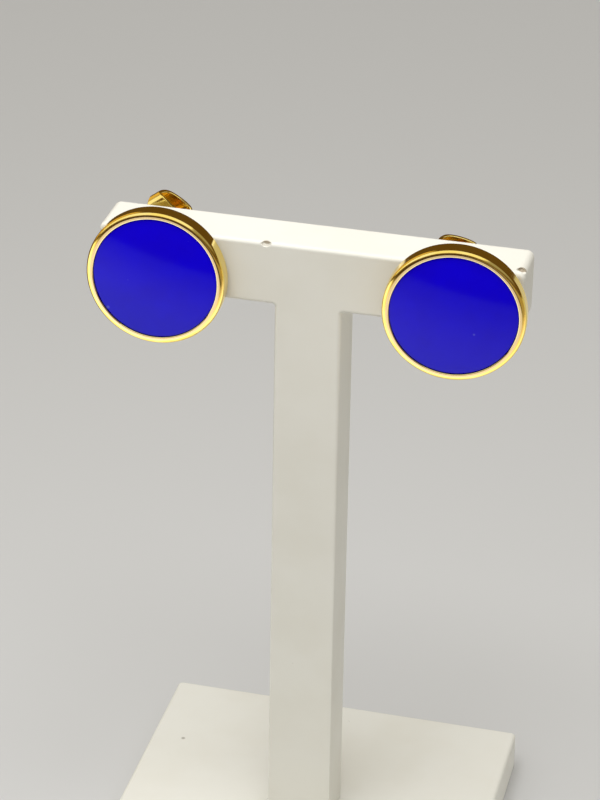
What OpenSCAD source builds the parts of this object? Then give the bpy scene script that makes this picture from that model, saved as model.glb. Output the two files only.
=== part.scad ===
// A pair of round button stud earrings on a small white T-shaped display stand.
// Frame: origin at the centre of the base's underside, +X to the viewer's right,
// +Y away from the viewer, +Z up. The earrings face -Y. Sizes in millimetres.

/* [Stand] */
// Side of the square base plate
base_side = 43; // [38:0.5:60]
// Thickness of the base plate
base_t = 4.8; // [3:0.1:8]
// Radius of the base plate's upright corners
base_corner_r = 0.6; // [0.2:0.1:2]
// Length of the crossbar
bar_len = 46; // [42:0.5:60]
// Height of the crossbar's front face
bar_h = 7.2; // [6.5:0.1:10]
// Thickness of the plate that the crossbar and upright are cut from
plate_t = 6.1; // [5.5:0.1:6.2]
// Width of the upright
upright_w = 7.3; // [5:0.1:10]
// Height of the crossbar's top above the base plate
tee_h = 74.3; // [50:0.1:110]
// Radius of the crossbar's end corners
bar_corner_r = 0.8; // [0.3:0.1:2]
// Radius in the inner corners under the crossbar
inner_corner_r = 0.3; // [0.1:0.1:1]

/* [Post holes] */
// Distance of each post hole from the stand's middle
hole_x = 16.05; // [16:0.05:16.1]
// Depth of the post holes below the crossbar's top
hole_drop = 3.6; // [3.55:0.05:3.65]
// Diameter of the post holes
hole_d = 2.4; // [2.4:0.05:3]

/* [Button] */
// Outer diameter of the gold setting
button_d = 15.2; // [15.1:0.1:16]
// Diameter of the enamel disc
disc_d = 13.54; // [12:0.02:13.54]
// How far the enamel disc's face swells forward in the middle
disc_dome = 0.4; // [0.2:0.05:0.8]
// Depth of the setting from the enamel's edge to its back
setting_depth = 1.7; // [1.4:0.05:1.75]
// Thickness of the setting's closed back
back_t = 0.35; // [0.25:0.05:0.5]
// How far the lip stands in front of the enamel's edge
lip_rise = 0.16; // [0.08:0.01:0.24]
// Width of the small bevel on the lip's inner edge
lip_bevel = 0.03; // [0.02:0.01:0.06]
// Radius of the rounded shoulder between the lip and the wall
shoulder_r = 0.5; // [0.2:0.02:0.5]
// Radius of the rounded edge at the back
back_edge_r = 0.15; // [0.1:0.01:0.2]

/* [Post] */
// Diameter of the post
post_d = 0.9; // [0.7:0.05:0.9]
// Length of the post behind the setting
post_len = 10.3; // [10:0.1:11]

/* [Clutch] */
// Thickness of the clutch's rolled sheet
sheet_t = 0.38; // [0.3:0.02:0.4]
// Length over the two rolled wings
wing_len = 9.2; // [8.6:0.1:9.6]
// Width of the wings
wing_w = 4.7; // [4.2:0.1:5]
// Length of the oval front plate
plate_len = 8.2; // [8:0.1:9]
// Width of the oval front plate
plate_w = 3.6; // [3.2:0.1:3.9]
// Radius of the ovals' round ends
oval_end_r = 1.35; // [1.1:0.05:1.45]
// Middle radius of the bend at each wing's outer end
bend_r = 0.95; // [0.93:0.01:1.02]
// Middle radius of the curls that grip the post
curl_r = 0.72; // [0.6:0.02:0.72]

/* [Left earring] */
// Middle of the left disc, to the right of the stand's middle
left_x = -16.18; // [-16.3:0.01:-16.1]
// Middle of the left disc, away from the viewer
left_y = -5.3; // [-5.6:0.05:-5.25]
// Middle of the left disc, below the crossbar's top
left_drop = 4.7; // [4.6:0.01:4.8]
// Turn of the left earring to the right
left_yaw = 0.9; // [0.5:0.1:1.2]
// Lean of the left face upwards
left_tilt = 1.7; // [1.2:0.1:2]
// Direction of the left clutch's length, anticlockwise from the right
left_clutch_turn = 126; // [110:1:135]
// Distance from the left enamel's edge back to its clutch
left_clutch_at = 9.2; // [8.9:0.05:9.3]
// Place of the left post, to the right of the button's middle
left_post_x = -0.2; // [-0.3:0.05:0.1]
// Place of the left post, above the button's middle
left_post_y = 1.5; // [1.2:0.05:1.6]

/* [Right earring] */
// Middle of the right disc, to the right of the stand's middle
right_x = 16.24; // [16.1:0.01:16.3]
// Middle of the right disc, away from the viewer
right_y = -6; // [-6.1:0.05:-5.9]
// Middle of the right disc, below the crossbar's top
right_drop = 4.38; // [4.3:0.01:4.45]
// Turn of the right earring to the right
right_yaw = 4; // [3.7:0.1:4.1]
// Lean of the right face upwards
right_tilt = -1; // [-1.3:0.1:-0.7]
// Direction of the right clutch's length, anticlockwise from the right
right_clutch_turn = 146; // [130:1:155]
// Distance from the right enamel's edge back to its clutch
right_clutch_at = 9.6; // [9.45:0.05:9.7]
// Place of the right post, to the right of the button's middle
right_post_x = 0.4; // [0.1:0.05:0.5]
// Place of the right post, above the button's middle
right_post_y = 0.4; // [0.3:0.05:0.7]

/* [Hidden] */
$fn = 64;

WHITE = [0.93, 0.92, 0.88];
GOLD = [0.90, 0.68, 0.22];
BLUE = [0.09, 0.02, 0.78];

// Clearance between pieces that are glued, set or pushed together
fit_gap = 0.03;
// Overlap that joins the shapes of one solid
join = 0.01;

top_z = base_t + tee_h;
hole_r = hole_d / 2;
button_r = button_d / 2;
disc_r = disc_d / 2;
post_r = post_d / 2;
cup_r = disc_r + fit_gap;
cup_floor = setting_depth - back_t;
disc_t = cup_floor - fit_gap;
dome_r = (disc_r * disc_r + disc_dome * disc_dome) / (2 * disc_dome);
inner_r = sheet_t / 2;

// Chips on the crossbar's front edge: distance along the bar, radius and depth
mid_chip = [-4.7, 0.62, 0.34];
end_chip = [22.5, 0.75, 0.4];

// A rectangle about the origin with round corners
module round_rect(w, h, r) {
    square([w - 2 * r, h], center = true);
    square([w, h - 2 * r], center = true);
    for (sx = [-1, 1], sy = [-1, 1])
        translate([sx * (w / 2 - r), sy * (h / 2 - r)]) circle(r);
}

// The round filling of an inner corner whose arms run to +x and -y
module corner_fill(r) {
    difference() {
        translate([-join, -r]) square([r + join, r + join]);
        translate([r, -r]) circle(r);
    }
}

// A shallow ball-shaped chip in the arris at x, front top of the crossbar
module chip(c) {
    ball_r = (c[1] * c[1] + c[2] * c[2]) / (2 * c[2]);
    reach = (ball_r - c[2]) * sqrt(0.5);
    translate([c[0], -plate_t / 2 - reach, top_z + reach]) sphere(ball_r);
}

module stand_base() {
    color(WHITE)
        linear_extrude(base_t)
            round_rect(base_side, base_side, base_corner_r);
}

// The T is drawn upright in x and y and then turned to stand in x and z
module tee_outline() {
    bar_low = top_z - bar_h;
    foot = base_t + fit_gap;
    translate([0, top_z - bar_h / 2]) round_rect(bar_len, bar_h, bar_corner_r);
    translate([-upright_w / 2, foot]) square([upright_w, bar_low - foot + join]);
    translate([upright_w / 2, bar_low]) corner_fill(inner_corner_r);
    mirror([1, 0]) translate([upright_w / 2, bar_low]) corner_fill(inner_corner_r);
}

module stand_tee() {
    color(WHITE)
        difference() {
            translate([0, plate_t / 2, 0]) rotate([90, 0, 0])
                linear_extrude(plate_t) tee_outline();
            for (side = [-1, 1])
                translate([side * hole_x, plate_t / 2 + 1, top_z - hole_drop])
                    rotate([90, 0, 0]) cylinder(r = hole_r, h = plate_t + 2);
            chip(mid_chip);
            chip(end_chip);
        }
}

// Half section of the setting: x is the radius, y runs forward from the enamel's edge
module setting_section() {
    front = lip_rise;
    back = -setting_depth;
    // closed back with a rounded outer edge
    translate([0, back]) square([button_r - back_edge_r, back_t]);
    translate([button_r - back_edge_r, back + back_edge_r]) circle(back_edge_r);
    // wall, up to where the shoulder starts to round
    translate([cup_r, back + back_edge_r])
        square([button_r - cup_r, front - shoulder_r - back - back_edge_r]);
    // rounded shoulder, lip and the straight wall inside it
    translate([cup_r, back + back_edge_r])
        square([button_r - shoulder_r - cup_r, -back - back_edge_r]);
    intersection() {
        translate([button_r - shoulder_r, front - shoulder_r]) circle(shoulder_r);
        translate([cup_r, front - shoulder_r - join]) square([button_r, shoulder_r + 1]);
    }
    polygon([[cup_r, -join], [cup_r, front - lip_bevel], [cup_r + lip_bevel, front],
             [button_r - shoulder_r + join, front], [button_r - shoulder_r + join, -join]]);
}

// Bezel, back and soldered post in one piece, facing +z
module setting(post_x, post_y) {
    color(GOLD)
        union() {
            rotate_extrude() setting_section();
            translate([post_x, post_y, -setting_depth - post_len + post_r]) {
                cylinder(r = post_r, h = post_len - post_r + back_t / 2);
                sphere(post_r);
            }
        }
}

module enamel_disc() {
    color(BLUE)
        rotate_extrude()
            intersection() {
                translate([0, disc_dome - dome_r]) circle(dome_r, $fn = 1440);
                translate([0, -disc_t]) square([disc_r, disc_t + disc_dome + 1]);
            }
}

// A smooth oval of four arcs: round ends joined by two long side arcs
module oval(len, w) {
    c = len / 2 - oval_end_r;
    rise = w / 2 - oval_end_r;
    d = (c * c - rise * rise) / (2 * rise);
    side_r = d + w / 2;
    touch = c + oval_end_r * c / sqrt(c * c + d * d);
    intersection() {
        translate([0, -d]) circle(side_r);
        translate([0, d]) circle(side_r);
        square([2 * touch, w + 1], center = true);
    }
    for (side = [-1, 1]) translate([side * c, 0]) circle(oval_end_r);
}

// A ring about the origin with the sheet's thickness
module sheet_ring(r) {
    difference() {
        circle(r + inner_r);
        circle(r - inner_r);
    }
}

// Side view of one rolled wing: x runs out along it, y runs back from the front plate
module wing_side() {
    bend_x = wing_len / 2 - bend_r - inner_r;
    curl_x = post_r + fit_gap + inner_r + curl_r;
    leg_y = 2 * bend_r;
    curl_y = leg_y + inner_r - curl_r;
    // bend at the outer end
    intersection() {
        translate([bend_x, bend_r + inner_r]) sheet_ring(bend_r);
        translate([bend_x - join, -1]) square([wing_len, wing_len]);
    }
    // leg that runs back to the middle
    translate([curl_x, leg_y]) square([bend_x - curl_x, sheet_t]);
    // curl that presses on the post
    intersection() {
        translate([curl_x, curl_y]) sheet_ring(curl_r);
        translate([0, 0]) square([curl_x + join, wing_len]);
    }
}

// Butterfly clutch along x, with its front plate's face at z = 0 and its wings behind
module clutch() {
    flat_half = wing_len / 2 - bend_r - inner_r;
    color(GOLD)
        difference() {
            union() {
                intersection() {
                    translate([0, 0, -sheet_t]) linear_extrude(sheet_t) oval(plate_len, plate_w);
                    translate([-flat_half, -wing_w, -1]) cube([2 * flat_half, 2 * wing_w, 2]);
                }
                for (side = [0, 1]) mirror([side, 0, 0])
                    intersection() {
                        translate([0, wing_w, 0]) rotate([90, 0, 0])
                            linear_extrude(2 * wing_w) mirror([0, 1]) wing_side();
                        translate([0, 0, -wing_len]) linear_extrude(2 * wing_len)
                            oval(wing_len, wing_w);
                    }
            }
            translate([0, 0, -wing_len]) cylinder(r = post_r + fit_gap, h = 2 * wing_len);
        }
}

// Places a piece of an earring: +z turns to face the viewer, +y stays up
module hang(x, y, drop, yaw, tilt) {
    translate([x, y, top_z - drop]) rotate([90 - tilt, 0, yaw]) children();
}

module on_left() {
    hang(left_x, left_y, left_drop, left_yaw, left_tilt) children();
}

module on_right() {
    hang(right_x, right_y, right_drop, right_yaw, right_tilt) children();
}

module left_setting() {
    on_left() setting(left_post_x, left_post_y);
}

module left_enamel_disc() {
    on_left() enamel_disc();
}

module left_clutch() {
    on_left() translate([left_post_x, left_post_y, -left_clutch_at])
        rotate([0, 0, left_clutch_turn]) clutch();
}

module right_setting() {
    on_right() setting(right_post_x, right_post_y);
}

module right_enamel_disc() {
    on_right() enamel_disc();
}

module right_clutch() {
    on_right() translate([right_post_x, right_post_y, -right_clutch_at])
        rotate([0, 0, right_clutch_turn]) clutch();
}

stand_base();
stand_tee();
left_setting();
left_enamel_disc();
left_clutch();
right_setting();
right_enamel_disc();
right_clutch();
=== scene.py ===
# %% [markdown]
# Dressing a pair of button earrings on their display stand
#
# The parts of this model were built at their real size before Blender was opened. This lesson
# loads them as a fixed frame and works out a finer skin for each one: round gold settings,
# domed enamel discs, rolled sheet clutches and a white plastic stand. Blender works in metres,
# and these parts are small, so sizes are written in millimetres and scaled when a mesh is made.

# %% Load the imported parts
import math

import bmesh
import bpy
import numpy as np
from mathutils import Matrix, Vector


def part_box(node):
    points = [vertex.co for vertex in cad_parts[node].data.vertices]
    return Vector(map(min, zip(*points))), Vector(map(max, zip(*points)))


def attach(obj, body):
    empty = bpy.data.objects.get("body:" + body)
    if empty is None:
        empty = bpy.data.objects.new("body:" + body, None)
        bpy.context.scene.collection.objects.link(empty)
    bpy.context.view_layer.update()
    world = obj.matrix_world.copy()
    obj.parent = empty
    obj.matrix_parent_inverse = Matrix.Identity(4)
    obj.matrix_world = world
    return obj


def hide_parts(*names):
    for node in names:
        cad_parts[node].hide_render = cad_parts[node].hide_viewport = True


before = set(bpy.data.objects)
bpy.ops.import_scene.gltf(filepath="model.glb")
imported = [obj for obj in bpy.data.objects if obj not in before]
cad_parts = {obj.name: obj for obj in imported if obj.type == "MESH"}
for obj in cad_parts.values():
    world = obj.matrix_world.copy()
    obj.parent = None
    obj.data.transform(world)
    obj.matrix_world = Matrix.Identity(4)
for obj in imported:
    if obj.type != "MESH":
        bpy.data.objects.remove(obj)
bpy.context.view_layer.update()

MM = 0.001


def node_box(node):
    """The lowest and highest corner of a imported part, in millimetres."""
    return [np.array(corner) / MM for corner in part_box(node)]


base_low, base_high = node_box("stand_base")
tee_low, tee_high = node_box("stand_tee")
print("parts:", sorted(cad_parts))
print("base, mm:", np.round(base_high - base_low, 2))
print("crossbar and upright, mm:", np.round(tee_high - tee_low, 2))

# %% [markdown]
# The camera comes first, because every later choice is judged through it. The photograph was
# taken from above and from the right with a long lens. A camera looks along its own -Z, so it is
# stood upright, rolled a little, tipped down and turned. The lens is long because a short one,
# held close, would spread the two ends of the crossbar apart.

# %% Camera
CAMERA_PLACE = (63.3, -268.8, 209.2)
CAMERA_TURN = 13.53
CAMERA_DOWN = 28.49
CAMERA_ROLL = 1.01
LENS = 129.8
SENSOR_WIDTH = 36


def turned(degrees, axis):
    """A turn about one axis as a 3 by 3 matrix."""
    return Matrix.Rotation(math.radians(degrees), 3, axis)


camera_data = bpy.data.cameras.new("camera")
camera_data.lens = LENS
camera_data.sensor_width = SENSOR_WIDTH
camera = bpy.data.objects.new("camera", camera_data)
upright = turned(CAMERA_TURN, "Z") @ turned(90 - CAMERA_DOWN, "X")
camera.matrix_world = Matrix.LocRotScale(
    Vector(CAMERA_PLACE) * MM, upright @ turned(CAMERA_ROLL, "Z"), None
)
bpy.context.collection.objects.link(camera)
bpy.context.scene.camera = camera
print("camera at", CAMERA_PLACE, "mm with a lens of", LENS, "mm")

# %% [markdown]
# Shader nodes are clear to look at and slow to write. The small class below holds one output
# socket, so that shader maths can be written as a sum: adding two sockets makes a Math node,
# and 1 - mask works because the reflected forms are there too. Colours and vectors can't go
# through a Math node, which would turn them grey, so they have methods of their own, and every
# other kind of node comes from the method called node.

# %% A socket that can stand in a sum


class Wire:
    """One output socket of a node tree, or a bare tree to start from."""

    def __init__(self, tree, socket=None):
        self.tree = tree
        self.socket = socket

    def node(self, kind, settings=None, inputs=None, output=0):
        """Adds a node: first its settings, then the values or links of its sockets."""
        made = self.tree.nodes.new(kind)
        for name, value in (settings or {}).items():
            setattr(made, name, value)
        for key, value in (inputs or {}).items():
            if isinstance(value, Wire):
                self.tree.links.new(value.socket, made.inputs[key])
            else:
                made.inputs[key].default_value = value
        return Wire(self.tree, made.outputs[output] if made.outputs else None)

    def maths(self, operation, *values):
        """A Math node on numbers and wires."""
        return self.node("ShaderNodeMath", {"operation": operation}, dict(enumerate(values)))

    def __add__(self, other):
        return self.maths("ADD", self, other)

    __radd__ = __add__

    def __sub__(self, other):
        return self.maths("SUBTRACT", self, other)

    def __rsub__(self, other):
        return self.maths("SUBTRACT", other, self)

    def __mul__(self, other):
        return self.maths("MULTIPLY", self, other)

    __rmul__ = __mul__

    def between(self, low, high):
        """0 below low, 1 above high, and a smooth step from one to the other."""
        settings = {"interpolation_type": "SMOOTHSTEP"}
        return self.node("ShaderNodeMapRange", settings, {0: self, 1: low, 2: high})

    def tint(self, colour_a, colour_b):
        """Colour a where this wire is 0 and colour b where it is 1."""
        inputs = {0: self, 6: with_alpha(colour_a), 7: with_alpha(colour_b)}
        return self.node("ShaderNodeMix", {"data_type": "RGBA"}, inputs, output=2)

    def stretched(self, factors):
        """A vector with each of its parts multiplied."""
        return self.node("ShaderNodeVectorMath", {"operation": "MULTIPLY"}, {0: self, 1: factors})

    def noise(self, scale, detail=2.0):
        """Smooth noise from 0 to 1 at this vector, with about scale lumps to a unit."""
        return self.node(
            "ShaderNodeTexNoise", None, {"Vector": self, "Scale": scale, "Detail": detail}
        )

    def spot(self, centre, radius, fade):
        """1 inside a ball at centre, fading to 0 over the distance fade, all in millimetres."""
        inputs = {0: self, 1: [part * MM for part in centre]}
        away = self.node("ShaderNodeVectorMath", {"operation": "DISTANCE"}, inputs, output=1)
        return 1 - away.between(radius * MM, (radius + fade) * MM)


def with_alpha(colour):
    """A colour with its alpha, or a wire as it is."""
    return colour if isinstance(colour, Wire) else (*colour, 1.0)


# %% [markdown]
# Polished gold has hardly any look of its own: it shows the room. The room here is a plain
# studio painted on the world, and it has three faces. Rays that bounce off gloss see a dim
# brown room with one long skylight, which runs from overhead towards the viewer and gives the
# fine bright bands with dark lines beside them. To its right is a pale wall, and behind on the
# left is a golden one, which lights the rolled clutches. Rays that carry soft light see a wide
# pale dome, and rays that go straight to the camera see a plain grey, so that no view has a
# strange wall.

# %% Studio light
SKYLIGHT_LEFT = -7.0
SKYLIGHT_RIGHT = 0.7
SKYLIGHT_FRONT = -2.0
SKYLIGHT_BACK = -0.03
SKYLIGHT_FADE = 0.02
SKYLIGHT_COLOUR = (1.05, 1.03, 0.98)
ROOM_BEHIND = (0.115, 0.065, 0.016)
ROOM_IN_FRONT = (0.13, 0.075, 0.03)
RIGHT_WALL_COLOUR = (0.34, 0.31, 0.25)
RIGHT_WALL_RISE = (0.15, 0.45)
LEFT_WALL_COLOUR = (0.75, 0.50, 0.14)
LEFT_WALL_SIDE = (-0.6, -0.45)
LEFT_WALL_NEAR = (0.0, 0.2)
LEFT_WALL_FAR = (0.68, 0.78)
ROOM_MIDDLE = 0.3
SOFT_DOME_CENTRE = (-0.08, -0.15, 0.98)
SOFT_DOME_HALF_ANGLE = 50.0
SOFT_DOME_COLOUR = (1.00, 0.985, 0.94)
SOFT_DOME_FADE = 0.1
SOFT_DOME_DIM = (0.28, 0.265, 0.23)
PLAIN_BACKGROUND = (0.52, 0.52, 0.53)

world = bpy.data.worlds.new("studio")
bpy.context.scene.world = world
world.use_nodes = True
world.node_tree.nodes.clear()
room = Wire(world.node_tree)
direction = room.node("ShaderNodeTexCoord", output="Generated")
rightward = room.node("ShaderNodeSeparateXYZ", None, {0: direction}, output=0)
backward = room.node("ShaderNodeSeparateXYZ", None, {0: direction}, output=1)
upward = room.node("ShaderNodeSeparateXYZ", None, {0: direction}, output=2)


def inside(distance):
    """1 where a distance from the skylight's edge is positive, with a narrow fade."""
    return distance.between(-SKYLIGHT_FADE, SKYLIGHT_FADE)


# On a flat ceiling one unit up, a direction meets the point (rightward, backward) / upward.
skylight = inside(upward * SKYLIGHT_RIGHT - rightward) * inside(rightward - upward * SKYLIGHT_LEFT)
skylight *= inside(upward * SKYLIGHT_BACK - backward) * inside(backward - upward * SKYLIGHT_FRONT)
low_room = backward.between(-ROOM_MIDDLE, ROOM_MIDDLE).tint(ROOM_IN_FRONT, ROOM_BEHIND)
right_wall = inside(rightward - upward * SKYLIGHT_RIGHT) * upward.between(*RIGHT_WALL_RISE)
right_wall *= inside(upward * SKYLIGHT_BACK - backward)
low_room = right_wall.tint(low_room, RIGHT_WALL_COLOUR)
left_wall = (1 - rightward.between(*LEFT_WALL_SIDE)) * backward.between(*LEFT_WALL_NEAR)
left_wall *= 1 - backward.between(*LEFT_WALL_FAR)
low_room = left_wall.tint(low_room, LEFT_WALL_COLOUR)
reflected_room = skylight.tint(low_room, SKYLIGHT_COLOUR)
to_dome = direction.node(
    "ShaderNodeVectorMath",
    {"operation": "DOT_PRODUCT"},
    {0: direction, 1: Vector(SOFT_DOME_CENTRE).normalized()},
    output=1,
)
dome_edge = math.radians(SOFT_DOME_HALF_ANGLE)
dome_outer = math.cos(dome_edge * (1 + SOFT_DOME_FADE))
dome_inner = math.cos(dome_edge * (1 - SOFT_DOME_FADE))
soft_dome = to_dome.between(dome_outer, dome_inner)
soft_light = soft_dome.tint(SOFT_DOME_DIM, SOFT_DOME_COLOUR)
off_gloss = room.node("ShaderNodeLightPath", output="Is Glossy Ray")
seen_straight = room.node("ShaderNodeLightPath", output="Is Camera Ray")
lit_room = off_gloss.tint(soft_light, reflected_room)
shown_room = seen_straight.tint(lit_room, PLAIN_BACKGROUND)
background = room.node("ShaderNodeBackground", None, {"Color": shown_room})
room.node("ShaderNodeOutputWorld", None, {"Surface": background})
print("skylight from", SKYLIGHT_LEFT, "to", SKYLIGHT_RIGHT, "on a ceiling one unit up")

# %% [markdown]
# One softbox hangs high above, so that the tops of the crossbar and the base are nearly white
# while the upright faces stay a soft grey. It is kept out of the reflections, because a second
# bright square in the gold would compete with the skylight.

# %% Softbox
SOFTBOX_PLACE = (-8, -60, 260)
SOFTBOX_AIM = (0, 0, 70)
SOFTBOX_SIDE = 120
SOFTBOX_WATTS = 0.30

softbox_data = bpy.data.lights.new("softbox", "AREA")
softbox_data.shape = "SQUARE"
softbox_data.size = SOFTBOX_SIDE * MM
softbox_data.energy = SOFTBOX_WATTS
softbox = bpy.data.objects.new("softbox", softbox_data)
softbox.visible_glossy = False
softbox_ray = Vector(SOFTBOX_AIM) - Vector(SOFTBOX_PLACE)
softbox.matrix_world = Matrix.LocRotScale(
    Vector(SOFTBOX_PLACE) * MM, softbox_ray.to_track_quat("-Z", "Y"), None
)
bpy.context.collection.objects.link(softbox)
print("softbox", round(softbox_ray.length), "mm from the stand")

# %% [markdown]
# Almost every shape here is one of two kinds. A turned shape is a profile carried round an axis,
# and a slab is an outline carried through a thickness. Both start from a path whose corners are
# arcs, and both end as a grid of points, so one function can make the mesh for all of them.
# A support point on each side of an arc keeps the flat runs flat when they are shaded smooth.

# %% Paths with round corners
ARC_STEPS = 10


def round_path(corners, closed, support, steps=ARC_STEPS):
    """Points of a path whose corners are arcs, with the outward direction at each.

    A corner is (x, y, radius). Its arc begins radius * tan(turn / 2) before the corner, and the
    arc's centre lies one radius away on the side that the path turns to. The arc's points are
    its first one swung about that centre by shares of the turn. Travel is anticlockwise, so
    outward is to the right of the way ahead. An open path keeps its two ends as plain points.
    """
    table = np.array(corners, float)
    place, radius = table[:, :2], table[:, 2:]
    ahead = np.roll(place, -1, axis=0) - place
    ahead = ahead / np.linalg.norm(ahead, axis=1, keepdims=True)
    before = np.roll(ahead, 1, axis=0)
    cross = before[:, :1] * ahead[:, 1:] - before[:, 1:] * ahead[:, :1]
    along = np.sum(before * ahead, axis=1, keepdims=True)
    swing = np.arctan2(cross, along)
    left = np.stack([-before[:, 1], before[:, 0]], axis=1) * np.sign(swing)
    centre = place - before * radius * np.tan(np.abs(swing) / 2) + left * radius
    angle = swing * np.linspace(0, 1, steps + 1)
    spoke = swung(-left * radius, angle)
    heading = swung(before, angle)
    arc = centre[:, None] + spoke
    first = arc[:, :1] - before[:, None] * support
    last = arc[:, -1:] + ahead[:, None] * support
    points = np.concatenate([first, arc, last], axis=1)
    heading = np.concatenate([heading[:, :1], heading, heading[:, -1:]], axis=1)
    if closed:
        points, heading = points.reshape(-1, 2), heading.reshape(-1, 2)
    else:
        points = np.concatenate([place[:1], points[1:-1].reshape(-1, 2), place[-1:]])
        heading = np.concatenate([ahead[:1], heading[1:-1].reshape(-1, 2), before[-1:]])
    return points, np.stack([heading[:, 1], -heading[:, 0]], axis=1)


def swung(vectors, angles):
    """Each vector turned by its own row of angles: (x cos - y sin, x sin + y cos)."""
    x, y = vectors[:, :1], vectors[:, 1:]
    cos, sin = np.cos(angles), np.sin(angles)
    return np.stack([x * cos - y * sin, x * sin + y * cos], axis=2)


corner_test, _ = round_path([(0, 0, 1), (10, 0, 1), (10, 5, 1), (0, 5, 1)], True, 0.1)
print("a rounded rectangle has", len(corner_test), "points in", len(corner_test[0]), "columns")

# %% Grids of points
SLAB_SUPPORT = 0.05


def revolve(profile, around):
    """Carries (radius, height) points round z: x = radius cos t, y = radius sin t."""
    angle = np.linspace(0, 2 * np.pi, around, endpoint=False)
    radius, height = profile[:, :1], profile[:, 1:]
    ring = [radius * np.cos(angle), radius * np.sin(angle), height + 0 * angle]
    return np.stack(ring, axis=2)


def slab(outline, outward, thickness, arris_top, arris_bottom, steps=ARC_STEPS):
    """Carries an outline through a thickness, with rounded arrises.

    On a rounded arris the outline shrinks by arris * (1 - sin a) and stands at a height of
    arris * (1 - cos a) from the face, while a goes from 0 on the face to a quarter turn on the
    side. One more loop inside each arris keeps the flat face flat. An arris may change along
    the outline, so it is a row with one radius for each outline point.
    """
    quarter = np.linspace(0, np.pi / 2, steps + 1)[:, None]
    shrink, rise = 1 - np.sin(quarter), 1 - np.cos(quarter)
    inner = SLAB_SUPPORT
    inset_low = np.vstack([arris_bottom[None] + inner, arris_bottom * shrink, 0 * arris_bottom[None]])
    level_low = np.vstack([0 * arris_bottom[None], arris_bottom * rise, arris_bottom[None] + inner])
    inset_high = np.vstack([0 * arris_top[None], (arris_top * shrink)[::-1], arris_top[None] + inner])
    level_high = np.vstack([arris_top[None] + inner, (arris_top * rise)[::-1], 0 * arris_top[None]])
    inset = np.vstack([inset_low, inset_high])
    level = np.vstack([level_low, thickness - level_high])
    flat = outline[None] - inset[:, :, None] * outward[None]
    return np.concatenate([flat, level[:, :, None]], axis=2)


# %% [markdown]
# A grid becomes a mesh when neighbours are joined by quads. The columns close on themselves, and
# the first and last rows either shrink to a pole or get one flat face as a cap. Doubles are
# merged at the poles first, and only then are the normals recalculated, so that every face
# points out of its closed skin. The grid also gives each face its place on a UV map, once round
# in u and in millimetres along v, which the gold uses for its polishing lines.

# %% From grids to a piece
SHARP_ANGLE = 35
MERGE_DISTANCE = 0.0001


def grid_faces(rows, columns):
    """The corners of each quad, as row and column numbers that may run past the last column."""
    row, column = np.mgrid[0 : rows - 1, 0:columns]
    rows_of = np.stack([row, row, row + 1, row + 1], axis=2)
    columns_of = np.stack([column, column + 1, column + 1, column], axis=2)
    return rows_of.reshape(-1, 4), columns_of.reshape(-1, 4)


def make_piece(name, grids, capped, material=None):
    """One closed mesh piece from grids of points in millimetres, with a UV map called wrap."""
    vertices, faces, wraps, count = [], [], [], 0
    for grid in grids:
        rows, columns = grid.shape[:2]
        row, column = grid_faces(rows, columns)
        faces += (count + row * columns + column % columns).tolist()
        steps = np.linalg.norm(np.diff(grid[:, 0], axis=0), axis=1)
        length = np.concatenate([[0], np.cumsum(steps)])
        wraps.append(np.stack([column / columns, length[row]], axis=2).reshape(-1, 2))
        if capped:
            faces += [list(range(count + columns - 1, count - 1, -1))]
            faces += [list(range(count + (rows - 1) * columns, count + rows * columns))]
            wraps.append(np.zeros((2 * columns, 2)))
        vertices.append(grid.reshape(-1, 3) * MM)
        count += rows * columns
    mesh = bpy.data.meshes.new(name)
    mesh.from_pydata(np.concatenate(vertices), [], faces)
    wrap = mesh.uv_layers.new(name="wrap")
    wrap.data.foreach_set("uv", np.concatenate(wraps).ravel())
    close_skin(mesh)
    piece = bpy.data.objects.new(name, mesh)
    bpy.context.collection.objects.link(piece)
    if material:
        mesh.materials.append(material)
    return piece


def close_skin(mesh):
    """Merges the doubles, turns the faces outward, and shades all but sharp edges smooth."""
    work = bmesh.new()
    work.from_mesh(mesh)
    bmesh.ops.remove_doubles(work, verts=work.verts, dist=MERGE_DISTANCE * MM)
    bmesh.ops.recalc_face_normals(work, faces=work.faces)
    work.to_mesh(mesh)
    work.free()
    mesh.polygons.foreach_set("use_smooth", [True] * len(mesh.polygons))
    mesh.set_sharp_from_angle(angle=math.radians(SHARP_ANGLE))


def cut_out(piece, tools):
    """Takes the tools' shapes out of a piece and leaves a plain mesh."""
    for tool in tools:
        cut = piece.modifiers.new("cut", "BOOLEAN")
        cut.operation = "DIFFERENCE"
        cut.solver = "EXACT"
        cut.object = tool
    carved = piece.evaluated_get(bpy.context.evaluated_depsgraph_get())
    piece.data = bpy.data.meshes.new_from_object(carved)
    piece.modifiers.clear()
    piece.data.set_sharp_from_angle(angle=math.radians(SHARP_ANGLE))
    for tool in tools:
        bpy.data.objects.remove(tool)


def put_on(piece, node):
    """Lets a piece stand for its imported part, and says how far the two boxes differ."""
    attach(piece, "root")
    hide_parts(node)
    corners = np.array([vertex.co for vertex in piece.data.vertices]) / MM
    low, high = node_box(node)
    gap = max(np.abs(corners.min(0) - low).max(), np.abs(corners.max(0) - high).max())
    print(f"{piece.name}: {len(piece.data.polygons)} faces, {gap:.3f} mm off its part's box")


# %% [markdown]
# The table is one plain pale sheet. What it shows in reflections is set apart from how it looks:
# the gold and the enamel see a pool of light in front of the stand that turns warmer and fades
# towards the viewer and ends in a soft slanting edge, past which the table is dark, or tan far
# to the right. Behind the stand it is a dimmer cream on the right and brown on the left. The
# milky lower half of each blue disc and most of the gold's bright yellow come from this pool.

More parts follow.
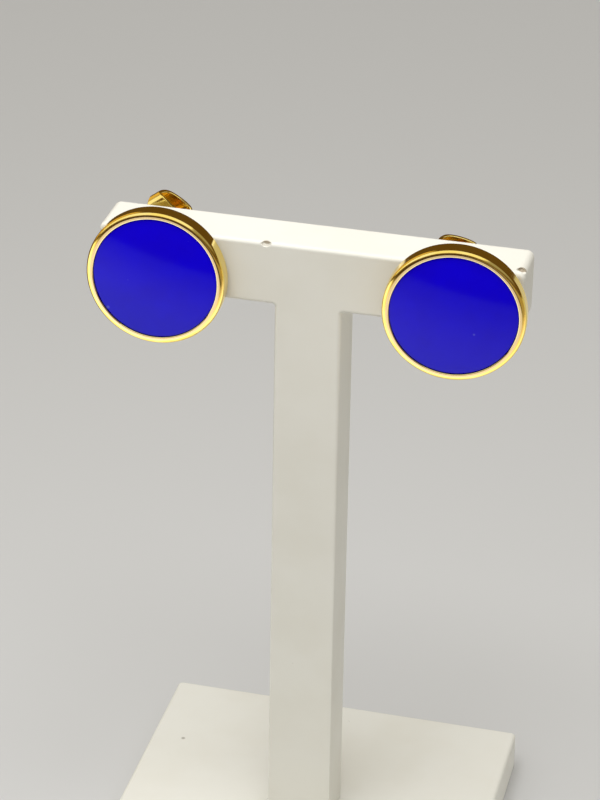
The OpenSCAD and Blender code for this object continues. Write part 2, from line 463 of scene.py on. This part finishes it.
# %% Table
FLOOR_COLOUR = (0.62, 0.62, 0.62)
FLOOR_ROUGHNESS = 0.7
FLOOR_REACH = 3000
TABLE_SINK = 0.01
POOL_NEAR = (1.45, 1.45, 1.35)
POOL_FAR = (1.53, 1.27, 1.0)
POOL_BEHIND = (0.62, 0.60, 0.54)
TABLE_DARK = (0.045, 0.03, 0.018)
TABLE_TAN = (0.42, 0.33, 0.20)
POOL_SLANT = 0.6
POOL_EDGE = -201 * MM
POOL_EDGE_FADE = 6 * MM
POOL_FULL = -80 * MM
POOL_STEP = 0.3
WARM_TO_NEAR = (-130 * MM, -50 * MM)
DARK_TO_TAN = (40 * MM, 160 * MM)
FRONT_TO_BEHIND = (-30 * MM, 30 * MM)
BROWN_TO_CREAM = (-100 * MM, -30 * MM)


def blank_finish(name):
    """A new material with no nodes, and a wire to start its tree from."""
    material = bpy.data.materials.new(name)
    material.use_nodes = True
    material.node_tree.nodes.clear()
    return material, Wire(material.node_tree)


def principled_surface(start, inputs):
    """Ends a tree with one Principled shader, given its inputs."""
    shader = start.node("ShaderNodeBsdfPrincipled", None, inputs)
    start.node("ShaderNodeOutputMaterial", None, {"Surface": shader})


def floor_paper():
    """Matt pale paper, whose picture in polished things is a pool of light with an edge."""
    material, start = blank_finish("floor_paper")
    place = start.node("ShaderNodeTexCoord", output="Object")
    along = start.node("ShaderNodeSeparateXYZ", None, {0: place}, output=0)
    back = start.node("ShaderNodeSeparateXYZ", None, {0: place}, output=1)
    reach = back - along * POOL_SLANT
    edge = reach.between(POOL_EDGE - POOL_EDGE_FADE, POOL_EDGE + POOL_EDGE_FADE)
    ramp = reach.between(POOL_EDGE, POOL_FULL)
    light = reach.between(*WARM_TO_NEAR).tint(POOL_FAR, POOL_NEAR)
    past_edge = along.between(*DARK_TO_TAN).tint(TABLE_DARK, TABLE_TAN)
    pool = (edge * POOL_STEP + ramp * (1 - POOL_STEP)).tint(past_edge, light)
    behind = along.between(*BROWN_TO_CREAM).tint(ROOM_BEHIND, POOL_BEHIND)
    pool = back.between(*FRONT_TO_BEHIND).tint(pool, behind)
    paper_inputs = {"Base Color": (*FLOOR_COLOUR, 1), "Roughness": FLOOR_ROUGHNESS}
    paper = start.node("ShaderNodeBsdfPrincipled", None, paper_inputs)
    # Painted reflection: gloss sees this glowing picture of a pool of light, its edge and the table
    # past it, in place of the paper.
    picture = start.node("ShaderNodeEmission", None, {"Color": pool})
    in_reflection = start.node("ShaderNodeLightPath", output="Is Glossy Ray")
    shown = start.node("ShaderNodeMixShader", None, {0: in_reflection, 1: paper, 2: picture})
    start.node("ShaderNodeOutputMaterial", None, {"Surface": shown})
    return material


floor_mesh = bpy.data.meshes.new("floor")
far = FLOOR_REACH * MM
floor_square = [(-far, -far), (far, -far), (far, far), (-far, far)]
floor_corners = [(x, y, -TABLE_SINK * MM) for x, y in floor_square]
floor_mesh.from_pydata(floor_corners, [], [range(4)])
floor_mesh.materials.append(floor_paper())
floor = bpy.data.objects.new("floor", floor_mesh)
bpy.context.collection.objects.link(floor)
print("table laid", TABLE_SINK, "mm under the stand")

# %% [markdown]
# The stand is white glossy plastic. Real plastic is never one flat colour: it is a touch warmer
# and duller in soft patches, has faint rubbed scratches, and carries a few specks of dust. All
# of that is noise on Object coordinates, which don't move when the camera does. A noise has a
# scale, in lumps to a metre, and a pair of levels between which it fades in.

# %% Patches, rubs and dust
PLASTIC_PATCHES = {"scale": 110, "detail": 3.0}
PATCHES_BETWEEN = (0.35, 0.7)
PLASTIC_DUST = {"scale": 1500, "detail": 1.0}
DUST_BETWEEN = (0.80, 0.86)
DUST_SHARE = 0.5
PLASTIC_RUBS = {"scale": 3000, "detail": 3.0}
RUB_STRETCH = (1.0, 1.0, 0.12)
RUB_HEIGHT = 0.12
PLASTIC_RIPPLE = {"scale": 260, "detail": 2.0}
print("soft patches about", round(1 / (PLASTIC_PATCHES["scale"] * MM)), "mm wide")

# %% [markdown]
# One mark on the base and the painted shade inside the two chips are spots with a place of their
# own. A chip is wider than it is deep, so its spot is a ball in a space where x is narrowed to
# half. The middle chip has a second, fainter spot of painted shade for its hollow. The finish
# lays everything over the clean colour in turn: the warm patches, then dust and the mark, and the
# painted shade of the chips last.

# %% White plastic
PLASTIC_CLEAN = (0.84, 0.83, 0.77)
PLASTIC_WARM = (0.815, 0.80, 0.73)
PLASTIC_DIRT = (0.30, 0.27, 0.22)
# Painted shade: the colour put into the chips' hollows in place of their shadow.
PLASTIC_CHIP_SHADE = (0.40, 0.34, 0.26)
PLASTIC_IOR = 1.49
PLASTIC_BUMP = {"Strength": 0.35, "Distance": 0.00003}
PLASTIC_ROUGHNESS = 0.26
PATCH_ROUGHNESS = 0.10
RUB_ROUGHNESS = 0.08
BASE_MARK = {"centre": (-17.6, 9.6, 4.8), "radius": 0.12, "fade": 0.2}
MARK_SHARE = 0.7
# Spots of painted shade in the two chips, and a fainter one that fills the middle chip's hollow.
MID_CHIP_SHADE = {"centre": (-2.31, -2.68, 79.0), "radius": 0.1, "fade": 0.14}
END_CHIP_SHADE = {"centre": (11.28, -1.68, 78.87), "radius": 0.24, "fade": 0.08}
MID_HOLLOW_SHADE = {"centre": (-2.31, -2.80, 78.82), "radius": 0.25, "fade": 0.07}
HOLLOW_SHADE_SHARE = 0.35
CHIP_NARROWING = (0.5, 1.0, 1.0)


def white_plastic():
    """Glossy white plastic with soft patches, rubbed scratches, a little dust and painted shade in
    its chips.
    """
    material, start = blank_finish("white_plastic")
    place = start.node("ShaderNodeTexCoord", output="Object")
    patches = place.noise(**PLASTIC_PATCHES).between(*PATCHES_BETWEEN)
    dust = place.noise(**PLASTIC_DUST).between(*DUST_BETWEEN)
    mark = place.spot(**BASE_MARK)
    clean = patches.tint(PLASTIC_CLEAN, PLASTIC_WARM)
    colour = (dust * DUST_SHARE + mark * MARK_SHARE).tint(clean, PLASTIC_DIRT)
    narrowed = place.stretched(CHIP_NARROWING)
    # Painted shade: the chips' hollows are darkened in the colour, standing in for the shadow in
    # them.
    chip_shade = narrowed.spot(**MID_CHIP_SHADE) + narrowed.spot(**END_CHIP_SHADE)
    chip_shade = chip_shade + narrowed.spot(**MID_HOLLOW_SHADE) * HOLLOW_SHADE_SHARE
    colour = chip_shade.tint(colour, PLASTIC_CHIP_SHADE)
    rubbed = place.stretched(RUB_STRETCH).noise(**PLASTIC_RUBS)
    height = rubbed * RUB_HEIGHT + place.noise(**PLASTIC_RIPPLE)
    normal = start.node("ShaderNodeBump", None, PLASTIC_BUMP | {"Height": height})
    roughness = PLASTIC_ROUGHNESS + patches * PATCH_ROUGHNESS + rubbed * RUB_ROUGHNESS
    inputs = {"Base Color": colour, "Roughness": roughness, "Normal": normal, "IOR": PLASTIC_IOR}
    principled_surface(start, inputs)
    return material


plastic = white_plastic()
print("finish:", plastic.name, "with", len(plastic.node_tree.nodes), "nodes")

# %% [markdown]
# The crossbar and the upright are cut from one white plate, so they are one slab whose outline
# is a T. It could be modelled from boxes, but the light runs along the rounded arrises, and an
# outline that is carried through its thickness rounds them all alike, the inner corners too.
# The cut foot stays crisp, because it is glued flat on the base.

# %% Stand, crossbar and upright
BAR_HEIGHT = 7.2
UPRIGHT_WIDTH = 7.3
BAR_CORNER = 0.8
INNER_CORNER = 0.3
FOOT_CORNER = 0.06
ARRIS = 0.45
FOOT_ARRIS = 0.05
FOOT_FADE = 1.6


def tee_outline():
    """The T, drawn in x and height, anticlockwise from the foot's left corner."""
    foot, top, half = tee_low[2], tee_high[2], UPRIGHT_WIDTH / 2
    end, under = tee_high[0], tee_high[2] - BAR_HEIGHT
    right = [(half, foot, FOOT_CORNER), (half, under, INNER_CORNER)]
    right += [(end, under, BAR_CORNER), (end, top, BAR_CORNER)]
    left = [(-x, height, radius) for x, height, radius in reversed(right)]
    return round_path(right + left, True, SLAB_SUPPORT)


outline, outward = tee_outline()
above_foot = np.clip((outline[:, 1] - tee_low[2]) / FOOT_FADE, 0, 1)
arris_row = FOOT_ARRIS + (ARRIS - FOOT_ARRIS) * above_foot * above_foot * (3 - 2 * above_foot)
thickness = tee_high[1] - tee_low[1]
tee_grid = slab(outline, outward, thickness, arris_row, arris_row)
tee_grid = np.stack(
    [tee_grid[:, :, 0], tee_high[1] - tee_grid[:, :, 2], tee_grid[:, :, 1]], axis=2
)
tee = make_piece("white_tee", [tee_grid], True, plastic)
print("T outline of", len(outline), "points through", thickness, "mm")

# %% [markdown]
# Two holes take the posts, and the crossbar has two small chips: a nick in the front edge beside
# the upright and a scoop in the top at the right end. A chip is a bite, so it is cut out with a
# lumpy ball whose radius swells and shrinks with a few sines of its two angles. Its place is
# counted from the middle of the front edge.

# %% Holes and chips in the crossbar
HOLE_X = 16.05
HOLE_DROP = 3.6
HOLE_RADIUS = 1.2
HOLE_FLARE = 0.12
DRILL_BEND = 0.02
DRILL_PAST = 1
TURNED_SUPPORT = 0.01
FINE_STEPS = 64
MID_CHIP = {"place": (-4.62, -0.05, 0.0), "size": (0.6, 0.3, 0.42), "lumps": 0.1}
END_CHIP = {"place": (22.5, 0.76, 0.0), "size": (0.62, 0.56, 0.3), "lumps": 0.16}
BALL_STEPS = 36
ARRIS_DIP = 0.3


def hole_tool(x):
    """A drill's shape, a little flared where it meets each face, lying along y."""
    half = thickness / 2
    end, flared, bend = -half - DRILL_PAST, HOLE_RADIUS + HOLE_FLARE, DRILL_BEND
    corners = [(0, end, 0), (flared, end, bend)]
    corners += [(flared, -half, bend), (HOLE_RADIUS, -half + HOLE_FLARE, bend)]
    corners += [(radius, -height, bend) for radius, height, bend in reversed(corners)]
    drill = revolve(round_path(corners, False, TURNED_SUPPORT)[0], FINE_STEPS)
    x_axis, y_axis, z_axis = drill[:, :, 0], drill[:, :, 2], drill[:, :, 1]
    middle = (x, 0, tee_high[2] - HOLE_DROP)
    return make_piece("drill", [np.stack([x_axis, y_axis, z_axis], axis=2) + middle], False)


def chip_tool(chip):
    """A lumpy ball: each radius is stretched by 1 + lumps * sin 3a * sin(5b + 1) * sin a.

    Here a is the angle down from the top and b the angle round. The middle of a rounded arris
    lies about 0.3 of its radius inside both faces, and the ball's place is counted from there.
    """
    down = np.linspace(0, np.pi, BALL_STEPS)[:, None]
    round_ = np.linspace(0, 2 * np.pi, 2 * BALL_STEPS, endpoint=False)[None, :]
    lumps = 1 + chip["lumps"] * np.sin(3 * down) * np.sin(5 * round_ + 1) * np.sin(down)
    ball = [np.sin(down) * np.cos(round_), np.sin(down) * np.sin(round_), np.cos(down) + 0 * round_]
    points = np.stack(ball, axis=2) * lumps[:, :, None] * chip["size"]
    edge = (0, tee_low[1] + ARRIS * ARRIS_DIP, tee_high[2] - ARRIS * ARRIS_DIP)
    return make_piece("chip", [points + chip["place"] + np.array(edge)], False)


drills = [hole_tool(-HOLE_X), hole_tool(HOLE_X)]
cut_out(tee, drills + [chip_tool(MID_CHIP), chip_tool(END_CHIP)])
put_on(tee, "stand_tee")

# %% [markdown]
# The base is the same kind of plastic: a square plate with small round corners and rounded
# arrises above, and a tighter arris below, where it rests.

# %% Stand, base
BASE_CORNER = 0.6
BASE_ARRIS_LOW = 0.2

half_base = base_high[0]
square = [(-half_base, -half_base), (half_base, -half_base)]
square += [(half_base, half_base), (-half_base, half_base)]
outline, outward = round_path([(x, y, BASE_CORNER) for x, y in square], True, SLAB_SUPPORT)
even = np.ones(len(outline))
base_grid = slab(outline, outward, base_high[2], ARRIS * even, BASE_ARRIS_LOW * even)
base = make_piece("white_base", [base_grid], True, plastic)
put_on(base, "stand_base")

# %% [markdown]
# Each earring has a frame of its own, as a goldsmith would draw it: the middle of the disc's
# edge is at 0, +z comes out of the face and +y is up. The table below says where that frame
# hangs on the crossbar. The two earrings are alike and only their places and turns differ,
# because each sits in its hole as it was pushed in. The posts were soldered by eye, so their
# places on the two backs differ a little too.

# %% Where the earrings hang
EARRINGS = {
    "left": {"x": -16.18, "y": -5.3, "drop": 4.7, "yaw": 0.9, "lean": 1.7,
             "post": (-0.2, 1.5), "clutch_turn": 126, "clutch_at": 9.2},
    "right": {"x": 16.24, "y": -6.0, "drop": 4.38, "yaw": 4.0, "lean": -1.0,
              "post": (0.4, 0.4), "clutch_turn": 146, "clutch_at": 9.6},
}


def hung(points, side):
    """Points from an earring's own frame, leaned back, turned and moved to their place."""
    row = EARRINGS[side]
    spin = np.array(turned(row["yaw"], "Z") @ turned(90 - row["lean"], "X"))
    return points @ spin.T + (row["x"], row["y"], tee_high[2] - row["drop"])


print("earrings:", ", ".join(EARRINGS))

# %% [markdown]
# Gold here is a fully metallic shader: its colour is the colour of its reflections. The surface
# is polished but was worked by hand, so a fine noise that is stretched along the UV map leaves
# faint polishing lines round the wall, a broader noise makes the reflections waver, and the
# roughness changes a little from place to place. The flat lip of a setting is painted a paler
# gold, a painted highlight for the pale light it catches. It is found by its distance along the
# section, which the UV map has as v. The clutches are rolled from sheet, which is a little
# rougher and has no such painted highlight.

# %% Yellow gold
GOLD_BRIGHT = (1.0, 0.80, 0.27)
GOLD_DEEP = (0.98, 0.73, 0.16)
# Painted highlight: the lip's paler gold stands in for the pale light it catches.
GOLD_LIP_HIGHLIGHT = (1.0, 0.88, 0.55)
LIP_START = (9.61, 9.67)
LIP_END = (9.92, 9.98)
GOLD_LINES = {"scale": 1.0, "detail": 3.0}
GOLD_CLOUDS = {"scale": 420, "detail": 2.0}
GOLD_WAVER = {"scale": 700, "detail": 1.0}
LINE_STRETCH = (5.0, 40.0, 1.0)
GOLD_CLOUDS_BETWEEN = (0.3, 0.75)
LINE_HEIGHT = 0.10
LINE_ROUGHNESS = 0.06
CLOUD_ROUGHNESS = 0.05
GOLD_BUMP = {"Strength": 0.3, "Distance": 0.000012}


def yellow_gold(name, polish, lip_highlight_share):
    """Yellow gold with polishing lines and slightly wavering reflections.

    polish is the lowest roughness, and lip_highlight_share says how much of the painted
    highlight on the lip it has, 0 to 1.
    """
    material, start = blank_finish(name)
    place = start.node("ShaderNodeTexCoord", output="Object")
    wrap = start.node("ShaderNodeUVMap", {"uv_map": "wrap"})
    lines = wrap.stretched(LINE_STRETCH).noise(**GOLD_LINES)
    clouds = place.noise(**GOLD_CLOUDS)
    along = start.node("ShaderNodeSeparateXYZ", None, {0: wrap}, output=1)
    lip = along.between(*LIP_START) * (1 - along.between(*LIP_END))
    colour = clouds.between(*GOLD_CLOUDS_BETWEEN).tint(GOLD_BRIGHT, GOLD_DEEP)
    # Painted highlight: the lip is turned a paler gold for the light it catches.
    colour = (lip * lip_highlight_share).tint(colour, GOLD_LIP_HIGHLIGHT)
    height = lines * LINE_HEIGHT + place.noise(**GOLD_WAVER)
    normal = start.node("ShaderNodeBump", None, GOLD_BUMP | {"Height": height})
    roughness = polish + lines * LINE_ROUGHNESS + clouds * CLOUD_ROUGHNESS
    inputs = {"Base Color": colour, "Metallic": 1.0, "Roughness": roughness, "Normal": normal}
    principled_surface(start, inputs)
    return material


gold = yellow_gold("yellow_gold", polish=0.07, lip_highlight_share=1.0)
sheet_gold = yellow_gold("sheet_gold", polish=0.11, lip_highlight_share=0.0)
print("finishes:", gold.name, "and", sheet_gold.name, "with", len(gold.node_tree.nodes), "nodes each")

# %% [markdown]
# The setting is a shallow cup with a lip round its mouth, and a post soldered to its back. It
# could be spun or stamped, and either way it is round, so its section is carried round the
# axis. The lip stands a little proud of the enamel, with a straight wall inside it that shows
# as a fine dark line round the blue. The shoulder between lip and outer wall is a wide arc:
# seen from above it packs the whole room, from the table to the skylight, into thin bands.

# %% Gold settings
BUTTON_RADIUS = 7.6
DISC_RADIUS = 6.77
FIT_GAP = 0.03
DEPTH = 1.7
BACK = 0.35
LIP_RISE = 0.16
LIP_ROUND = 0.1
SHOULDER = 0.5
BACK_EDGE = 0.15
CUP_CORNER = 0.05
FINE_CORNER = 0.02
POST_RADIUS = 0.45
POST_END = -12.0
POST_TIP = 0.95 * POST_RADIUS
SOLDER = 0.22
SOLDER_RISE = 0.2 * SOLDER
SOLDER_ROUND = 0.7 * SOLDER
SOLDER_LIP = 0.01
TURNED_STEPS = 320


def setting_grid():
    """The cup's section, from the middle of its back to the middle of its floor, carried round."""
    cup = DISC_RADIUS + FIT_GAP
    floor = BACK - DEPTH
    section, _ = round_path(
        [
            (0, -DEPTH, 0),
            (BUTTON_RADIUS, -DEPTH, BACK_EDGE),
            (BUTTON_RADIUS, LIP_RISE, SHOULDER),
            (cup, LIP_RISE, LIP_ROUND),
            (cup, floor, CUP_CORNER),
            (0, floor, 0),
        ],
        False,
        TURNED_SUPPORT,
    )
    return revolve(section, TURNED_STEPS)


def post_grid(place):
    """A round wire with a ball tip, and a fillet of solder where it leaves the back."""
    wire, _ = round_path(
        [
            (0, POST_END, 0),
            (POST_RADIUS, POST_END, POST_TIP),
            (POST_RADIUS, -DEPTH - SOLDER_RISE, SOLDER_ROUND),
            (POST_RADIUS + SOLDER, -DEPTH + SOLDER_LIP, FINE_CORNER),
            (POST_RADIUS + SOLDER, -DEPTH + BACK / 2, FINE_CORNER),
            (0, -DEPTH + BACK / 2, 0),
        ],
        False,
        TURNED_SUPPORT,
    )
    return revolve(wire, FINE_STEPS) + (*place, 0)


for side in EARRINGS:
    grids = [hung(setting_grid(), side), hung(post_grid(EARRINGS[side]["post"]), side)]
    setting = make_piece(f"{side}_gold_setting", grids, False, gold)
    put_on(setting, f"{side}_setting")

# %% [markdown]
# The blue is a domed disc of glossy enamel. A flat disc would show one flat reflection, so the
# dome matters even though it rises only 0.4 mm: it bends the picture of the table's edge.
# The colour is a deep ultramarine with the faintest mottling and a few specks of dust. The left
# disc has one scratch and the right disc one speck, each a spot at its own place. The gloss is
# a smooth plain reflection over the colour.

# %% Blue enamel
ENAMEL_BLUE = (0.006, 0.0, 0.77)
ENAMEL_DEEP = (0.007, 0.0, 0.69)
ENAMEL_DUST = (0.30, 0.32, 0.75)
ENAMEL_IOR = 1.30
ENAMEL_CLOUDS = {"scale": 240, "detail": 3.0}
ENAMEL_SPECKS = {"scale": 2600, "detail": 0.0}
ENAMEL_WAVER = {"scale": 180, "detail": 1.0}
ENAMEL_CLOUDS_BETWEEN = (0.3, 0.7)
SPECKS_BETWEEN = (0.88, 0.92)
SPECK_SHARE = 0.25
ENAMEL_BUMP = {"Strength": 0.25, "Distance": 0.00002}
ENAMEL_ROUGHNESS = 0.06
LEFT_SCRATCH = {"centre": (-21.35, -5.55, 70.45), "radius": 0.06, "fade": 0.2}
RIGHT_SPECK = {"centre": (18.51, -6.20, 72.96), "radius": 0.04, "fade": 0.15}
WEAR_SHARE = 0.3


def blue_enamel():
    """Deep glossy ultramarine with faint mottling, a little dust and two marks of wear."""
    material, start = blank_finish("blue_enamel")
    place = start.node("ShaderNodeTexCoord", output="Object")
    clouds = place.noise(**ENAMEL_CLOUDS)
    specks = place.noise(**ENAMEL_SPECKS).between(*SPECKS_BETWEEN)
    colour = clouds.between(*ENAMEL_CLOUDS_BETWEEN).tint(ENAMEL_BLUE, ENAMEL_DEEP)
    wear = place.spot(**LEFT_SCRATCH) + place.spot(**RIGHT_SPECK)
    colour = (specks * SPECK_SHARE + wear * WEAR_SHARE).tint(colour, ENAMEL_DUST)
    bump = ENAMEL_BUMP | {"Height": place.noise(**ENAMEL_WAVER)}
    normal = start.node("ShaderNodeBump", None, bump)
    roughness = ENAMEL_ROUGHNESS + clouds * CLOUD_ROUGHNESS
    inputs = {"Base Color": colour, "Roughness": roughness, "Normal": normal, "IOR": ENAMEL_IOR}
    principled_surface(start, inputs)
    return material


enamel = blue_enamel()
print("finish:", enamel.name, "with", len(enamel.node_tree.nodes), "nodes")

# %% Enamel discs
DOME = 0.4
DOME_STEPS = 48
DISC_EDGE = 0.06
DOME_INSET = 2.5 * DISC_EDGE
EDGE_ENDS_AT = (0, 0.001, 0)


def disc_grid():
    """The disc's section: its back, its side, its soft edge and the arc of the dome.

    The dome is part of a circle of radius (r * r + dome * dome) / (2 * dome), so its height at
    a distance d from the axis is sqrt(radius^2 - d^2) less what that is at the edge. The side's
    path ends on the axis only to bend its last corner, and the dome takes over from there.
    """
    back = BACK + FIT_GAP - DEPTH
    side, _ = round_path(
        [(0, back, 0), (DISC_RADIUS, back, DISC_EDGE), (DISC_RADIUS, 0, DISC_EDGE), EDGE_ENDS_AT],
        False,
        TURNED_SUPPORT,
    )
    ball = (DISC_RADIUS**2 + DOME**2) / (2 * DOME)
    away = np.linspace(DISC_RADIUS - DOME_INSET, 0, DOME_STEPS)
    dome = np.sqrt(ball**2 - away**2) - math.sqrt(ball**2 - DISC_RADIUS**2)
    return revolve(np.concatenate([side[:-2], np.stack([away, dome], axis=1)]), TURNED_STEPS)


for side in EARRINGS:
    disc = make_piece(f"{side}_blue_disc", [hung(disc_grid(), side)], False, enamel)
    put_on(disc, f"{side}_enamel_disc")

# %% [markdown]
# The clutch is a strip of sheet gold that is rolled at both ends until the rolls grip the post.
# The easiest way to draw a bent strip is to bend it: its curvature is 0 on the flats and
# 1 / radius in the bends, the heading is the sum of the curvature so far, and the place is the
# sum of the heading. Its width follows an oval, because the blank is stamped with round lobes.

# %% Gold clutches
SHEET = 0.38
SHEET_EDGE = 0.13
PLATE_OVAL = (8.2, 3.6)
WING_OVAL = (9.2, 4.7)
OVAL_END = 1.35
BEND_RADIUS = 0.95
CURL_RADIUS = 0.72
CURL_TURN = 205
STRIP_STEPS = 260
STRIP_SUPPORT = 0.02
STRIP_ARC_STEPS = 5
PLATE_TRIM = 0.2
WING_START = 0.85
WING_SPAN = 0.3
LOBE_TAPER = 0.45
HOLE_CLEARANCE = 0.06
PUNCH_REACH = 1
PUNCH_STEPS = 48


def oval_half_width(x, oval):
    """Half the width of an oval at x: two long side arcs that run into round ends."""
    length, width = oval
    end_middle = length / 2 - OVAL_END
    rise = width / 2 - OVAL_END
    below = (end_middle**2 - rise**2) / (2 * rise)
    joint = end_middle + OVAL_END * end_middle / math.hypot(end_middle, below)
    side_arc = np.sqrt((below + width / 2) ** 2 - np.minimum(x, joint) ** 2) - below
    end_arc = np.sqrt(np.maximum(OVAL_END**2 - (x - end_middle) ** 2, 0))
    return np.where(x < joint, side_arc, end_arc)


def half_strip():
    """x, depth, heading and half width along half of the strip, from its middle outwards.

    The oval plate widens into the wing near the first bend, and the rolled lobe narrows again
    by the taper times the square of the share of the roll that has been travelled.
    """
    flat = WING_OVAL[0] / 2 - BEND_RADIUS - SHEET / 2
    leg = flat - (POST_RADIUS + FIT_GAP + SHEET / 2 + CURL_RADIUS)
    runs = [flat, math.pi * BEND_RADIUS, leg, math.radians(CURL_TURN) * CURL_RADIUS]
    ends = np.cumsum(runs)
    step = ends[-1] / STRIP_STEPS
    middle = (np.arange(STRIP_STEPS) + 0.5) * step
    bend = np.select([middle < ends[0], middle < ends[1], middle < ends[2]],
                     [0, 1 / BEND_RADIUS, 0], 1 / CURL_RADIUS)
    heading = np.concatenate([[0], np.cumsum(bend) * step])
    halfway = (heading[1:] + heading[:-1]) / 2
    x = np.concatenate([[0], np.cumsum(np.cos(halfway)) * step])
    depth = SHEET / 2 + np.concatenate([[0], np.cumsum(np.sin(halfway)) * step])
    travelled = np.linspace(0, ends[-1], STRIP_STEPS + 1)
    to_wing = np.clip((travelled - ends[0] * WING_START) / (ends[0] * WING_SPAN), 0, 1)
    plate = oval_half_width(np.minimum(x, PLATE_OVAL[0] / 2 - PLATE_TRIM), PLATE_OVAL)
    wing = oval_half_width(x, WING_OVAL)
    lobe = 1 - LOBE_TAPER * np.clip((travelled - ends[2]) / runs[3], 0, 1) ** 2
    return x, depth, heading, (plate + (wing - plate) * to_wing) * lobe


def strip_grid():
    """The whole strip: a section with rounded edges carried along it.

    The section's corners are arcs. Its middle stays on the strip, its thickness lies along the
    heading's normal, and its sides move out to the half width.
    """
    x, depth, heading, half = half_strip()
    x = np.concatenate([-x[:0:-1], x])
    depth = np.concatenate([depth[:0:-1], depth])
    heading = np.concatenate([-heading[:0:-1], heading])
    half = np.concatenate([half[:0:-1], half])
    unit = [(-1, -SHEET / 2), (1, -SHEET / 2), (1, SHEET / 2), (-1, SHEET / 2)]
    corners = [(*corner, SHEET_EDGE) for corner in unit]
    section, _ = round_path(corners, True, STRIP_SUPPORT, STRIP_ARC_STEPS)
    across = section[None, :, 0] + np.sign(section[None, :, 0]) * (half[:, None] - 1)
    through = section[None, :, 1]
    side_x = x[:, None] - through * np.sin(heading)[:, None]
    side_z = -(depth[:, None] + through * np.cos(heading)[:, None])
    return np.stack([side_x, across, side_z], axis=2)


def clutch_place(points, side):
    """Points of a clutch turned about the post and moved back to where it sits."""
    row = EARRINGS[side]
    spin = np.array(turned(row["clutch_turn"], "Z"))
    return hung(points @ spin.T + (*row["post"], -row["clutch_at"]), side)


for side in EARRINGS:
    clutch = make_piece(f"{side}_gold_clutch", [clutch_place(strip_grid(), side)], True, sheet_gold)
    bore = POST_RADIUS + HOLE_CLEARANCE
    punch = [(0, -PUNCH_REACH), (bore, -PUNCH_REACH), (bore, PUNCH_REACH), (0, PUNCH_REACH)]
    punch = revolve(np.array(punch, float), PUNCH_STEPS)
    cut_out(clutch, [make_piece("punch", [clutch_place(punch, side)], False)])
    put_on(clutch, f"{side}_clutch")

# %% [markdown]
# The last cell leaves the colours as the photograph has them. The usual film-like view softens
# strong colours towards grey, and this blue would turn pale under it, so the plain view is
# used.

# %% Finish
bpy.context.scene.view_settings.view_transform = "Standard"
